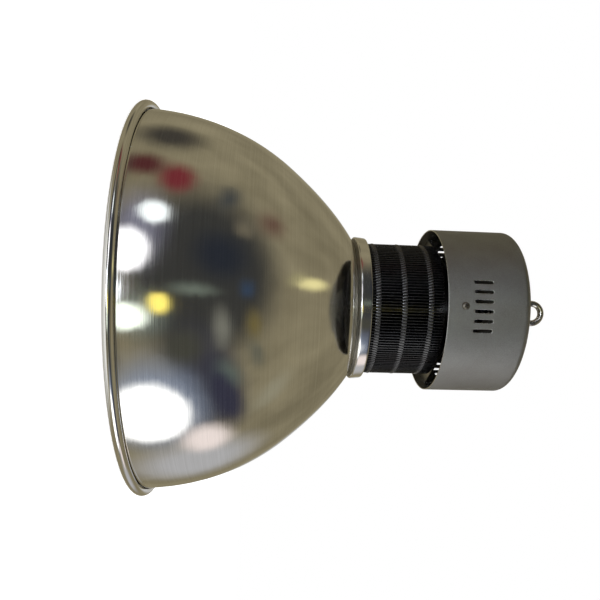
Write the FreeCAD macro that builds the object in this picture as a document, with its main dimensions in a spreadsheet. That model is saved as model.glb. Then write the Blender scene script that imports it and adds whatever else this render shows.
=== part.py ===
"""High bay light: a spun bell reflector under a finned heat sink and a slotted driver housing.

The lamp axis is +Z. The rolled rim of the bell stands on z = 0 and the lifting eye is at the top.
Lengths are millimetres. Every driving size is a cell of the sheet "Sizes"; the sub-parts are bound
to those cells, so a size that is changed there moves everything that seats on it.
"""
import FreeCAD, Part
import math
import os
import Sketcher
from types import SimpleNamespace

Vector = FreeCAD.Vector
Rotation = FreeCAD.Rotation
Placement = FreeCAD.Placement

SIZES = {
    # clearances
    "turned_gap": (0.1, "radial gap where one round part slips inside another"),
    "screw_gap": (0.15, "radial gap between a screw's shank and its hole"),
    "cut_past": (1.0, "how far a cut is drawn past the wall that it goes through"),
    # bell reflector, spun from one sheet
    "bell_radius": (197.4, "outer radius of the bell at the rim plane, the ellipse's short half axis"),
    "bell_meeting": (145.6, "rim plane to where the bell's ellipse runs into a parabola"),
    "bell_neck": (73.5, "outer radius that the parabola has at the top of the neck flange"),
    "bell_height": (216.0, "rim plane to the top of the neck flange"),
    "bell_gauge": (1.2, "sheet of the bell and of the neck ring"),
    "bead_radius": (4.5, "outside radius of the rolled rim"),
    "curl_end": (120.0, "degrees, where the rolled rim's sheet ends"),
    "shoulder_radius": (3.0, "outside bend between the bell and its neck flange"),
    "throat_lip": (1.0, "neck flange inside the silicone ring, round the light opening"),
    # half-round neck ring
    "ring_step": (1.1, "the neck ring's two edges stand out past the bell's neck"),
    "ring_height": (14.0, "height of the neck ring"),
    "ring_bulge": (3.9, "how far the neck ring bulges past its edges"),
    # heat sink
    "base_gap": (2.0, "flange of the heat sink core to the inside of the neck ring's edges"),
    "base_thick": (8.0, "thickness of that flange"),
    "core_radius": (38.0, "boss of the heat sink core"),
    "core_proud": (6.8, "boss above the fins, where the driver plate sits"),
    "lead_bore": (4.0, "radius of the bore for the LED lead"),
    "lead_offset": (31.0, "lamp axis to that bore"),
    "fin_count": (144, "fins round the core"),
    "fin_proud": (0.2, "fin tips past the flange of the core"),
    "fin_height": (80.0, "length of the fins"),
    "fin_gauge": (0.5, "sheet of the fins"),
    "foot_gauge": (0.6, "folded foot of each fin, which lies on the core"),
    "tab_height": (5.0, "height of a row of interlocking tabs"),
    "tab_gauge": (0.5, "thickness of the tabs"),
    "tab_groove": (0.3, "depth of the groove where two tabs lock into each other"),
    "tab_first": (11.8, "fin base to the middle of the first row of tabs"),
    "tab_pitch": (27.0, "row to row of the tabs"),
    "tab_rows": (3, "rows of tabs"),
    # light engine
    "board_side": (44.0, "square LED board"),
    "board_thick": (1.6, "thickness of the LED board"),
    "paste_thick": (0.5, "thermal pad under the LED board"),
    "emitter_radius": (18.0, "phosphor disc"),
    "emitter_thick": (1.0, "height of the phosphor disc"),
    "board_screw_circle": (26.2, "lamp axis to the board's corner screws"),
    "glass_thick": (4.0, "thickness of the cover glass"),
    "gasket_thick": (1.5, "silicone ring between glass and neck flange"),
    "gasket_width": (6.0, "width of the silicone ring and of the retainer's lip"),
    "retainer_gap": (2.5, "glass retainer to the radius of the bell's neck"),
    "retainer_rim": (9.9, "rim of the retainer round the glass"),
    "retainer_lip": (2.0, "thickness of the retainer's lip under the glass"),
    "neck_screw_inset": (5.0, "outside of the retainer to the neck screws"),
    "neck_screw_count": (6, "neck screws"),
    # driver housing, one drawn cup
    "housing_radius": (89.1, "outer radius of the housing"),
    "housing_wall": (1.2, "sheet of the housing"),
    "housing_lap": (2.2, "how far the housing's open edge comes down past the tops of the fins"),
    "housing_height": (85.5, "open edge to the top face of the housing"),
    "housing_corner": (7.5, "outside radius round the top face"),
    "slot_count": (6, "slots in a group"),
    "group_count": (3, "groups of slots, each over one side screw"),
    "slot_pitch": (6.3, "degrees from slot to slot"),
    "slot_width": (3.5, "width of a slot"),
    "slot_length": (19.8, "length of a slot with its round ends"),
    "slot_middle": (35.9, "open edge to the middle of the slots"),
    "side_screw_height": (17.0, "open edge to the side screws"),
    # driver plate, pressed with three upturned arms
    "plate_gauge": (2.0, "sheet of the driver plate"),
    "plate_gap": (0.3, "upturned arms to the housing wall"),
    "plate_flat": (60.0, "lamp axis to the straight sides between the arms"),
    "plate_upstand": (16.0, "height of the upturned arms above the plate"),
    "plate_screw_circle": (24.0, "lamp axis to the plate screws"),
    "plate_screw_count": (3, "plate screws"),
    # driver
    "driver_length": (96.0, "driver case along X"),
    "driver_width": (60.0, "driver case along Y"),
    "driver_height": (36.0, "driver case"),
    "driver_corner": (3.0, "radius along the case's long edges"),
    "cap_thick": (2.0, "end caps of the driver"),
    "foot_length": (9.0, "mounting foot on each end cap"),
    "spacer_height": (5.0, "spacers under the driver"),
    "spacer_radius": (4.0, "outer radius of the spacers"),
    "terminal_length": (30.0, "terminal block on the driver, along X"),
    "terminal_width": (16.0, "terminal block, along Y"),
    "terminal_height": (12.0, "terminal block"),
    "terminal_pitch": (9.0, "pole to pole"),
    "terminal_well": (2.2, "radius of the screw wells"),
    "terminal_well_depth": (7.0, "depth of the screw wells"),
    # lifting eye
    "eye_inner": (7.7, "hole radius of the eye"),
    "eye_bar": (3.4, "radius of the eye's bar"),
    "eye_neck": (2.8, "shank where it runs into the eye's bar"),
    "eye_rise": (38.5, "top face of the housing to the middle of the eye"),
    "shank_radius": (5.0, "shank of the eye bolt"),
    "shank_tail": (14.5, "shank below the top face of the housing"),
    "eye_nut_flats": (17.0, "eye bolt nuts, across flats"),
    "eye_nut_height": (8.0, "height of those nuts"),
    "washer_thick": (2.0, "plain washers of the eye bolt"),
    "washer_radius": (10.5, "outer washer of the eye bolt"),
    "load_washer_radius": (15.0, "inner washer of the eye bolt"),
    "spring_washer_thick": (2.2, "spring washer of the eye bolt"),
    "spring_washer_radius": (8.6, "spring washer of the eye bolt"),
    # cable gland
    "gland_inset": (37.1, "outside of the housing to the gland's axis, which lies on +Y"),
    "gland_thread": (8.0, "radius of the gland's thread"),
    "gland_flats": (20.0, "gland hexagons, across flats"),
    "gland_hex": (5.0, "height of the gland body's hexagon"),
    "gland_neck": (8.0, "gland body above its hexagon"),
    "gland_bore": (6.3, "bore of the gland body"),
    "gland_washer": (1.4, "sealing washer under the gland"),
    "gland_locknut": (4.0, "height of the gland's locknut"),
    "gland_tail": (7.5, "gland thread below the top face of the housing"),
    "cable_radius": (4.5, "hole for the cable in the gland seal"),
    "cap_wall": (1.2, "wall of the gland cap round its neck"),
    "cap_skirt": (7.5, "hexagon part of the gland cap"),
    "cap_dome": (6.5, "tapered part of the gland cap"),
    # leads inside the lamp
    "led_lead": (1.2, "radius of the LED lead"),
    "led_bend": (4.0, "bend of the LED lead"),
    # screws, by thread
    "m3_radius": (1.5, "M3 shank"),
    "m3_head": (2.75, "M3 head radius"),
    "m3_head_height": (1.4, "M3 low head"),
    "m3_length": (6.0, "M3 shank length"),
    "m4_radius": (2.0, "M4 shank"),
    "m4_head": (3.9, "M4 head radius"),
    "m4_head_height": (2.4, "M4 head"),
    "neck_screw_length": (13.0, "neck screws, M4"),
    "side_screw_length": (7.0, "side screws, M4"),
    "plate_screw_length": (10.0, "plate screws, M4"),
    "driver_screw_length": (12.0, "driver screws, M4"),
    "thread_allowance": (1.0, "how much deeper a tapped hole is than its screw"),
}


class Size:
    """A length with its value now and the sheet expression that it comes from."""

    def __init__(self, value, text):
        self.value = value
        self.text = text

    @staticmethod
    def of(thing):
        return thing if isinstance(thing, Size) else Size(float(thing), repr(float(thing)))

    def join(self, other, sign, value):
        return Size(value, "(%s %s %s)" % (self.text, sign, other.text))

    def __add__(self, other):
        other = Size.of(other)
        return self.join(other, "+", self.value + other.value)

    def __sub__(self, other):
        other = Size.of(other)
        return self.join(other, "-", self.value - other.value)

    def __mul__(self, other):
        other = Size.of(other)
        return self.join(other, "*", self.value * other.value)

    def __truediv__(self, other):
        other = Size.of(other)
        return self.join(other, "/", self.value / other.value)

    def __radd__(self, other):
        return Size.of(other) + self

    def __rsub__(self, other):
        return Size.of(other) - self

    def __rmul__(self, other):
        return Size.of(other) * self

    def __neg__(self):
        return Size.of(0) - self


doc = FreeCAD.newDocument("high_bay_light")
sheet = doc.addObject("Spreadsheet::Sheet", "Sizes")
for row, (alias, (number, note)) in enumerate(SIZES.items(), start=1):
    sheet.set("A%d" % row, alias)
    sheet.set("B%d" % row, str(number))
    sheet.setAlias("B%d" % row, alias)
    sheet.set("C%d" % row, note)
doc.recompute()

s = SimpleNamespace(**{alias: Size(float(sheet.get(alias)), "Sizes." + alias) for alias in SIZES})
ZERO = Size.of(0)
pieces = []


# ---------------------------------------------------------------- building blocks

def new_body(label):
    """An empty body that becomes one sub-part; a group of like solids may stay in one body."""
    body = doc.addObject("PartDesign::Body", label)
    body.Label = label
    body.AllowCompound = True
    pieces.append(body)
    return body


def datum(body, role):
    return next(item for item in body.Origin.OriginFeatures if item.Role == role)


def new_sketch(body, name, role, lift=ZERO, turn=0.0):
    """A sketch on one of the body's own origin planes, lifted along its normal and turned in it."""
    sketch = body.newObject("Sketcher::SketchObject", name)
    sketch.AttachmentSupport = (datum(body, role), [""])
    sketch.MapMode = "FlatFace"
    sketch.AttachmentOffset = Placement(Vector(0, 0, lift.value), Rotation(Vector(0, 0, 1), turn))
    sketch.setExpression("AttachmentOffset.Base.z", lift.text)
    return sketch


def hold(sketch, constraint, size):
    """Add a driving constraint and bind it to the sheet."""
    index = sketch.addConstraint(constraint)
    sketch.setExpression("Constraints[%d]" % index, size.text)


def hold_point(sketch, edge, point, corner):
    across, up = corner
    hold(sketch, Sketcher.Constraint("DistanceX", -1, 1, edge, point, across.value), across)
    hold(sketch, Sketcher.Constraint("DistanceY", -1, 1, edge, point, up.value), up)


def draw_outline(sketch, corners):
    """A closed outline of straight edges through the corners."""
    corners = [(Size.of(across), Size.of(up)) for across, up in corners]
    count = len(corners)
    points = [Vector(across.value, up.value, 0) for across, up in corners]
    for edge in range(count):
        sketch.addGeometry(Part.LineSegment(points[edge], points[(edge + 1) % count]))
    for edge in range(count):
        sketch.addConstraint(Sketcher.Constraint("Coincident", edge, 2, (edge + 1) % count, 1))
    for edge in range(count):
        hold_point(sketch, edge, 1, corners[edge])


def draw_circle(sketch, centre, radius):
    """A circle; returns the number of its edge."""
    centre = (Size.of(centre[0]), Size.of(centre[1]))
    middle = Vector(centre[0].value, centre[1].value, 0)
    edge = sketch.addGeometry(Part.Circle(middle, Vector(0, 0, 1), radius.value))
    hold_point(sketch, edge, 3, centre)
    hold(sketch, Sketcher.Constraint("Radius", edge, radius.value), radius)
    return edge


def draw_axis(sketch, upright, place):
    """A construction line to revolve about: upright at x = place, or level at y = place."""
    place = Size.of(place)
    if upright:
        ends = [(place, ZERO), (place, Size.of(1))]
    else:
        ends = [(ZERO, place), (Size.of(1), place)]
    line = Part.LineSegment(*[Vector(across.value, up.value, 0) for across, up in ends])
    edge = sketch.addGeometry(line, True)
    hold_point(sketch, edge, 1, ends[0])
    hold_point(sketch, edge, 2, ends[1])


def revolve(body, sketch, kind="Revolution", own_axis=False):
    feature = body.newObject("PartDesign::" + kind, sketch.Name + "_" + kind.lower())
    feature.Profile = sketch
    feature.ReferenceAxis = (sketch, ["Axis0"]) if own_axis else (sketch, ["V_Axis"])
    feature.Angle = 360
    return feature


def pad(body, sketch, length, midplane=False):
    feature = body.newObject("PartDesign::Pad", sketch.Name + "_pad")
    feature.Profile = sketch
    feature.setExpression("Length", length.text)
    feature.Midplane = midplane
    return feature


def pocket(body, sketch, depth):
    """Cut from the sketch against its normal."""
    feature = body.newObject("PartDesign::Pocket", sketch.Name + "_pocket")
    feature.Profile = sketch
    feature.setExpression("Length", depth.text)
    return feature


def repeat_round(body, feature, count, span=None):
    """Copies of a feature about the lamp axis: a full circle, or spread over a span in degrees."""
    pattern = body.newObject("PartDesign::PolarPattern", feature.Name + "_ring")
    pattern.Originals = [feature]
    pattern.Axis = (datum(body, "Z_Axis"), [""])
    count = Size.of(count)
    pattern.Angle = 360
    if span is not None:
        pattern.setExpression("Angle", span.text)
    pattern.setExpression("Occurrences", count.text)
    body.Tip = pattern
    return pattern


def turned(label, corners):
    """A part turned or spun about the lamp axis, from its half section (radius, height)."""
    body = new_body(label)
    sketch = new_sketch(body, label + "_section", "XZ_Plane")
    draw_outline(sketch, corners)
    revolve(body, sketch)
    return body


def turned_aside(label, corners, offset):
    """A part turned about an upright axis at x = offset; its radii are counted from that axis."""
    body = new_body(label)
    sketch = new_sketch(body, label + "_section", "XZ_Plane")
    draw_outline(sketch, [(offset + radius, height) for radius, height in corners])
    draw_axis(sketch, True, offset)
    return body, revolve(body, sketch, own_axis=True)


def drill(body, name, centre, radius, top, depth, count=1, turn=0.0):
    """Round holes cut downwards from a height, repeated about the lamp axis."""
    sketch = new_sketch(body, name, "XY_Plane", lift=top, turn=turn)
    draw_circle(sketch, centre, radius)
    cut = pocket(body, sketch, depth)
    if Size.of(count).value > 1:
        cut = repeat_round(body, cut, count)
    return cut


def drill_sideways(body, name, radius, height, inner, outer, count, turn):
    """Round holes cut along the radius between two distances from the lamp axis."""
    sketch = new_sketch(body, name, "XZ_Plane")
    sketch.AttachmentOffset = Placement(Vector(0, 0, 0), Rotation(Vector(0, 1, 0), turn))
    corners = [(inner, height), (outer, height), (outer, height + radius), (inner, height + radius)]
    draw_outline(sketch, corners)
    draw_axis(sketch, False, height)
    return repeat_round(body, revolve(body, sketch, "Groove", own_axis=True), count)


def hexagon(flats, centre):
    """Corners of a hexagon with two flats across Y."""
    corner = flats / math.sqrt(3)
    turns = [math.radians(60 * step) for step in range(6)]
    return [(corner * math.cos(turn), corner * math.sin(turn) + centre) for turn in turns]


def nut(label, flats, bore, bottom, height, offset=ZERO):
    """A hexagon nut lying flat, its bore on the line x = 0, y = offset."""
    body = new_body(label)
    sketch = new_sketch(body, label + "_hexagon", "XY_Plane", lift=bottom)
    draw_outline(sketch, hexagon(flats, offset))
    pad(body, sketch, height)
    drill(body, label + "_bore", (0, offset), bore, bottom + height, height)
    return body


def screws(label, circle, count, start, seat, lay, head, head_height, shank, length):
    """Pan-head screws about the lamp axis; lay is 1 with the heads on top, -1 with them below."""
    corners = [
        (ZERO, seat + lay * head_height),
        (head, seat + lay * head_height),
        (head, seat),
        (shank, seat),
        (shank, seat - lay * length),
        (ZERO, seat - lay * length),
    ]
    body, screw = turned_aside(label, corners, circle)
    repeat_round(body, screw, count)
    body.Placement = Placement(Vector(0, 0, 0), Rotation(Vector(0, 0, 1), start))
    return body


def on_ring(edge, radius, height):
    """Whether an edge is a whole circle about the lamp axis at a radius and height."""
    curve = edge.Curve
    if not isinstance(curve, Part.Circle):
        return False
    return abs(curve.Radius - radius.value) < 1e-3 and abs(curve.Center.z - height.value) < 1e-3


def round_over(body, name, radius, wanted):
    """Fillet the edges of the body so far that the test picks."""
    doc.recompute()
    base = body.Tip
    edges = ["Edge%d" % (index + 1) for index, edge in enumerate(base.Shape.Edges) if wanted(edge)]
    if not edges:
        raise RuntimeError("no edge for " + name)
    fillet = body.newObject("PartDesign::Fillet", name)
    fillet.Base = (base, edges)
    fillet.setExpression("Radius", radius.text)
    return fillet


def shaped(label, shape):
    """A sub-part whose form is a formula, built from the sheet's values with Part's functions."""
    feature = doc.addObject("Part::Feature", label)
    feature.Label = label
    feature.Shape = shape
    pieces.append(feature)
    return feature


def cable(label, route, radius, bend):
    """A lead along straight runs joined by tangent arcs."""
    edges = []
    start = route[0]
    for before, corner, after in zip(route, route[1:], route[2:]):
        back = (before - corner).normalize()
        ahead = (after - corner).normalize()
        opening = back.getAngle(ahead) / 2
        reach = bend / math.tan(opening)
        middle = (back + ahead).normalize() * (bend / math.sin(opening) - bend)
        edges.append(Part.makeLine(start, corner + back * reach))
        edges.append(Part.Arc(corner + back * reach, corner + middle, corner + ahead * reach).toShape())
        start = corner + ahead * reach
    edges.append(Part.makeLine(start, route[-1]))
    first = (route[1] - route[0]).normalize()
    ring = Part.Wire([Part.makeCircle(radius, route[0], first)])
    return shaped(label, Part.Wire(edges).makePipeShell([ring], True, True))


# ---------------------------------------------------------------- radii at the neck, heights up the lamp

ring_radius = s.bell_neck + s.ring_step
ring_inner = ring_radius - s.bell_gauge
base_radius = ring_inner - s.base_gap
fin_radius = base_radius + s.fin_proud
retainer_radius = s.bell_neck - s.retainer_gap
neck_screw_circle = retainer_radius - s.neck_screw_inset
pocket_radius = retainer_radius - s.retainer_rim
glass_radius = pocket_radius - s.turned_gap
gasket_inner = glass_radius - s.gasket_width
throat_radius = gasket_inner - s.throat_lip

flange_top = s.bell_height
flange_bottom = flange_top - s.bell_gauge
core_bottom = flange_top + s.bell_gauge
fins_bottom = core_bottom + s.base_thick
fins_top = fins_bottom + s.fin_height
core_top = fins_top + s.core_proud
plate_top = core_top + s.plate_gauge
driver_bottom = plate_top + s.spacer_height
driver_top = driver_bottom + s.driver_height
housing_bottom = fins_top - s.housing_lap
housing_top = housing_bottom + s.housing_height
housing_inside = housing_top - s.housing_wall
housing_bore = s.housing_radius - s.housing_wall
side_screw_level = housing_bottom + s.side_screw_height
gland_offset = s.housing_radius - s.gland_inset
neck_hole = s.m4_radius + s.screw_gap

# the three side screws, the slot groups and the arms of the driver plate share these directions
FIRST_ARM = -90.0


# ---------------------------------------------------------------- reflector

def bell_profile(height):
    """Outer radius and slope of the bell: an ellipse that runs tangent into a parabola."""
    mouth, neck = s.bell_radius.value, s.bell_neck.value
    meeting, top = s.bell_meeting.value, flange_top.value
    fall = (mouth ** 2 - neck ** 2) / (meeting * (2 * top - meeting))
    low = min(height, meeting)
    outer = math.sqrt(mouth ** 2 - fall * low ** 2 - 2 * fall * meeting * (height - low))
    return outer, -fall * low / outer


def bell_point(height, inset):
    """A point of the bell's section, set in from its outer face along the normal."""
    radius, slope = bell_profile(height)
    normal = math.atan(-slope)
    return Vector(radius - inset * math.cos(normal), 0, height - inset * math.sin(normal))


def bell_section():
    """The closed section of the spun sheet: wall, rolled rim, shoulder and neck flange."""
    gauge, bead, bend = s.bell_gauge.value, s.bead_radius.value, s.shoulder_radius.value
    top = flange_top.value
    shoulder = top
    for _ in range(20):
        tilt = math.atan(-bell_profile(shoulder)[1])
        shoulder = top - bend * (1 - math.sin(tilt))

    stations = 14
    heights = [bead + (shoulder - bead) * step / stations for step in range(stations + 1)]
    outside = [bell_point(height, 0) for height in heights]
    inside = [bell_point(height, gauge) for height in heights]

    bead_middle = Vector(outside[0].x - gauge + bead, 0, bead)
    inside[0] = Vector(bead_middle.x - bead, 0, bead)

    def curl(radius, degrees):
        turn = math.radians(degrees)
        return bead_middle + Vector(radius * math.cos(turn), 0, radius * math.sin(turn))

    def spline(points):
        curve = Part.BSplineCurve()
        curve.interpolate(points)
        return curve.toShape()

    centre = outside[-1] - Vector(math.cos(tilt), 0, math.sin(tilt)) * bend
    halfway = (tilt + math.pi / 2) / 2

    def bend_arc(start, radius):
        middle = centre + Vector(math.cos(halfway), 0, math.sin(halfway)) * radius
        return Part.Arc(start, middle, centre + Vector(0, 0, radius)).toShape()

    throat = throat_radius.value
    under, over = top - gauge, top
    last = s.curl_end.value
    turn_over = (180 + 360 + last) / 2
    edges = [
        spline(inside),
        bend_arc(inside[-1], bend - gauge),
        Part.makeLine(Vector(centre.x, 0, under), Vector(throat, 0, under)),
        Part.makeLine(Vector(throat, 0, under), Vector(throat, 0, over)),
        Part.makeLine(Vector(throat, 0, over), Vector(centre.x, 0, over)),
        bend_arc(outside[-1], bend),
        spline(outside),
        Part.Arc(curl(bead - gauge, 180), curl(bead - gauge, turn_over), curl(bead - gauge, last)).toShape(),
        Part.makeLine(curl(bead - gauge, last), curl(bead, last)),
        Part.Arc(curl(bead, last), curl(bead, turn_over), curl(bead, 180)).toShape(),
    ]
    return Part.Face(Part.Wire(Part.__sortEdges__(edges)))


def round_holes(circle, count, radius, low, high):
    """Upright cylinders on a circle about the lamp axis, to cut holes with."""
    turns = [2 * math.pi * step / int(count.value) for step in range(int(count.value))]
    spots = [Vector(circle.value * math.cos(turn), circle.value * math.sin(turn), low) for turn in turns]
    return [Part.makeCylinder(radius.value, high - low, spot) for spot in spots]


reflector_shape = bell_section().revolve(Vector(0, 0, 0), Vector(0, 0, 1), 360)
reflector_shape = reflector_shape.cut(
    round_holes(neck_screw_circle, s.neck_screw_count, neck_hole,
                (flange_bottom - s.cut_past).value, (flange_top + s.cut_past).value)
)
shaped("reflector", reflector_shape)


# ---------------------------------------------------------------- neck ring

def arc_edge(sketch, start, end, radius):
    """An arc that bulges away from the lamp axis, between two points one above the other."""
    low, high = start[1].value, end[1].value
    half = (high - low) / 2
    rise = radius.value - math.sqrt(radius.value ** 2 - half ** 2)
    points = [
        Vector(start[0].value, low, 0),
        Vector(start[0].value + rise, (low + high) / 2, 0),
        Vector(end[0].value, high, 0),
    ]
    edge = sketch.addGeometry(Part.Arc(*points))
    hold_point(sketch, edge, 1, start)
    hold_point(sketch, edge, 2, end)
    hold(sketch, Sketcher.Constraint("Radius", edge, radius.value), radius)


def line_edge(sketch, start, end):
    edge = sketch.addGeometry(
        Part.LineSegment(Vector(start[0].value, start[1].value, 0), Vector(end[0].value, end[1].value, 0))
    )
    hold_point(sketch, edge, 1, start)
    hold_point(sketch, edge, 2, end)


ring_top = flange_top + s.ring_height
ring_arc = (s.ring_height * s.ring_height / 4 + s.ring_bulge * s.ring_bulge) / (2 * s.ring_bulge)

neck_ring = new_body("neck_ring")
ring_sketch = new_sketch(neck_ring, "neck_ring_section", "XZ_Plane")
arc_edge(ring_sketch, (ring_radius, flange_top), (ring_radius, ring_top), ring_arc)
line_edge(ring_sketch, (ring_radius, ring_top), (ring_inner, ring_top))
arc_edge(ring_sketch, (ring_inner, core_bottom), (ring_inner, ring_top), ring_arc - s.bell_gauge)
line_edge(ring_sketch, (ring_inner, core_bottom), (throat_radius, core_bottom))
line_edge(ring_sketch, (throat_radius, core_bottom), (throat_radius, flange_top))
line_edge(ring_sketch, (throat_radius, flange_top), (ring_radius, flange_top))
revolve(neck_ring, ring_sketch)
drill(
    neck_ring, "neck_ring_holes", (neck_screw_circle, 0), neck_hole,
    core_bottom, s.bell_gauge, s.neck_screw_count,
)


# ---------------------------------------------------------------- heat sink

core = turned("heat_sink_core", [
    (ZERO, core_bottom),
    (base_radius, core_bottom),
    (base_radius, fins_bottom),
    (s.core_radius, fins_bottom),
    (s.core_radius, core_top),
    (ZERO, core_top),
])
drill(core, "core_lead_bore", (s.lead_offset, 0), s.lead_bore, core_top, core_top - core_bottom)
under_neck = s.gasket_thick + s.glass_thick + s.retainer_lip
neck_reach = s.neck_screw_length - (core_bottom - flange_bottom) - under_neck
neck_tap = neck_reach + s.thread_allowance
drill(
    core, "core_neck_taps", (neck_screw_circle, 0), neck_hole,
    core_bottom + neck_tap, neck_tap, s.neck_screw_count,
)
board_tap = s.m3_length - s.board_thick - s.paste_thick + s.thread_allowance
drill(
    core, "core_board_taps", (s.board_screw_circle, 0), s.m3_radius + s.screw_gap,
    core_bottom + board_tap, board_tap, 4, turn=45.0,
)
plate_tap = s.plate_screw_length - s.plate_gauge + s.thread_allowance
drill(
    core, "core_plate_taps", (s.plate_screw_circle, 0), s.m4_radius + s.screw_gap,
    core_top, plate_tap, s.plate_screw_count, turn=60.0,
)


def fin_section():
    """The fins' cross-section: one folded foot after another round the core, a blade on each."""
    count = int(s.fin_count.value)
    half_step = math.pi / count
    half_blade = s.fin_gauge.value / 2
    foot_inner = (s.core_radius + s.turned_gap).value / math.cos(half_step)
    foot_outer = foot_inner + s.foot_gauge.value
    outline = []
    bore = []
    for fin in range(count):
        turn = Rotation(Vector(0, 0, 1), math.degrees(2 * half_step * fin))
        root = Vector(foot_outer * math.cos(half_step), half_blade, 0)
        tip = Vector(fin_radius.value, half_blade, 0)
        joint = Vector(foot_outer * math.cos(half_step), foot_outer * math.sin(half_step), 0)
        for point in (Vector(root.x, -half_blade, 0), Vector(tip.x, -half_blade, 0), tip, root, joint):
            outline.append(turn.multVec(point))
        inner = Vector(foot_inner * math.cos(half_step), foot_inner * math.sin(half_step), 0)
        bore.append(turn.multVec(inner))
    wires = [Part.makePolygon(outline + outline[:1]), Part.makePolygon(bore + bore[:1])]
    return Part.makeFace(wires, "Part::FaceMakerCheese")


fin_shape = fin_section().extrude(Vector(0, 0, s.fin_height.value))
fin_shape.translate(Vector(0, 0, fins_bottom.value))
shaped("fin_stack", fin_shape)

def tab_section():
    """A row of tabs from above: each is flat on the outside and turns in where it locks with the next."""
    count = int(s.fin_count.value)
    half_step = math.pi / count
    inner = (fin_radius + s.turned_gap).value / math.cos(half_step)
    outer = inner + s.tab_gauge.value
    groove = outer - s.tab_groove.value
    half_flat = outer * math.tan(half_step) - s.tab_groove.value
    outline = []
    bore = []
    for fin in range(count):
        turn = Rotation(Vector(0, 0, 1), math.degrees(2 * half_step * fin))
        joint = Vector(math.cos(half_step), math.sin(half_step), 0)
        for point in (Vector(outer, -half_flat, 0), Vector(outer, half_flat, 0), joint * groove):
            outline.append(turn.multVec(point))
        bore.append(turn.multVec(joint * inner))
    wires = [Part.makePolygon(outline + outline[:1]), Part.makePolygon(bore + bore[:1])]
    return Part.makeFace(wires, "Part::FaceMakerCheese")


tab_row = tab_section().extrude(Vector(0, 0, s.tab_height.value))
tab_bottom = fins_bottom + s.tab_first - s.tab_height / 2
tab_levels = [(tab_bottom + s.tab_pitch * row).value for row in range(int(s.tab_rows.value))]
shaped("fin_tab_rows", Part.makeCompound([tab_row.translated(Vector(0, 0, level)) for level in tab_levels]))


# ---------------------------------------------------------------- light engine

def square(side):
    half = side / 2
    return [(-half, -half), (half, -half), (half, half), (-half, half)]


def board_plate(label, top, thick):
    """A square plate under the core with clear holes for the corner screws."""
    body = new_body(label)
    sketch = new_sketch(body, label + "_outline", "XY_Plane", lift=top - thick)
    draw_outline(sketch, square(s.board_side))
    pad(body, sketch, thick)
    hole = s.m3_radius + s.screw_gap
    drill(body, label + "_holes", (s.board_screw_circle, 0), hole, top, thick, 4, turn=45.0)
    return body


board_top = core_bottom - s.paste_thick
board_bottom = board_top - s.board_thick
emitter_bottom = board_bottom - s.emitter_thick
board_plate("thermal_pad", core_bottom, s.paste_thick)
board_plate("led_board", board_top, s.board_thick)
turned("led_emitter", [
    (ZERO, emitter_bottom),
    (s.emitter_radius, emitter_bottom),
    (s.emitter_radius, board_bottom),
    (ZERO, board_bottom),
])
screws("led_screws", s.board_screw_circle, 4, 45.0, board_bottom, -1,
       s.m3_head, s.m3_head_height, s.m3_radius, s.m3_length)

glass_top = flange_bottom - s.gasket_thick
glass_bottom = glass_top - s.glass_thick
retainer_bottom = glass_bottom - s.retainer_lip
turned("glass_gasket", [
    (gasket_inner, glass_top),
    (glass_radius, glass_top),
    (glass_radius, flange_bottom),
    (gasket_inner, flange_bottom),
])
turned("cover_glass", [
    (ZERO, glass_bottom),
    (glass_radius, glass_bottom),
    (glass_radius, glass_top),
    (ZERO, glass_top),
])
retainer = turned("glass_retainer", [
    (gasket_inner, retainer_bottom),
    (retainer_radius, retainer_bottom),
    (retainer_radius, flange_bottom),
    (pocket_radius, flange_bottom),
    (pocket_radius, glass_bottom),
    (gasket_inner, glass_bottom),
])
drill(
    retainer, "glass_retainer_holes", (neck_screw_circle, 0), neck_hole,
    flange_bottom, flange_bottom - retainer_bottom, s.neck_screw_count,
)
screws("neck_screws", neck_screw_circle, s.neck_screw_count, 0.0, retainer_bottom, -1,
       s.m4_head, s.m4_head_height, s.m4_radius, s.neck_screw_length)


# ---------------------------------------------------------------- driver plate and driver

arm_radius = housing_bore - s.plate_gap
plate = turned("driver_plate", [
    (ZERO, core_top),
    (arm_radius, core_top),
    (arm_radius, plate_top + s.plate_upstand),
    (arm_radius - s.plate_gauge, plate_top + s.plate_upstand),
    (arm_radius - s.plate_gauge, plate_top),
    (ZERO, plate_top),
])
window = new_sketch(plate, "driver_plate_window", "XY_Plane", lift=plate_top + s.plate_upstand,
                    turn=FIRST_ARM + 180 / s.group_count.value)
draw_outline(window, [
    (s.plate_flat, -s.housing_radius),
    (s.housing_radius, -s.housing_radius),
    (s.housing_radius, s.housing_radius),
    (s.plate_flat, s.housing_radius),
])
repeat_round(plate, pocket(plate, window, s.plate_upstand + s.plate_gauge), s.group_count)
foot_hole = s.driver_length / 2 + s.cap_thick + s.foot_length / 2
m4_hole = s.m4_radius + s.screw_gap
drill(plate, "driver_plate_lead_hole", (s.lead_offset, 0), s.lead_bore, plate_top, s.plate_gauge)
drill(plate, "driver_plate_core_holes", (s.plate_screw_circle, 0), m4_hole, plate_top, s.plate_gauge,
      s.plate_screw_count, turn=60.0)
drill(plate, "driver_plate_foot_holes", (foot_hole, 0), m4_hole, plate_top, s.plate_gauge, 2)
drill_sideways(plate, "driver_plate_side_holes", m4_hole, side_screw_level,
               arm_radius - s.plate_gauge - s.cut_past, arm_radius + s.cut_past, s.group_count, FIRST_ARM)
screws("plate_screws", s.plate_screw_circle, s.plate_screw_count, 60.0, plate_top, 1,
       s.m4_head, s.m4_head_height, s.m4_radius, s.plate_screw_length)

spacer_body, spacer = turned_aside("driver_spacers", [
    (m4_hole, plate_top),
    (s.spacer_radius, plate_top),
    (s.spacer_radius, driver_bottom),
    (m4_hole, driver_bottom),
], foot_hole)
repeat_round(spacer_body, spacer, 2)

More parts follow.
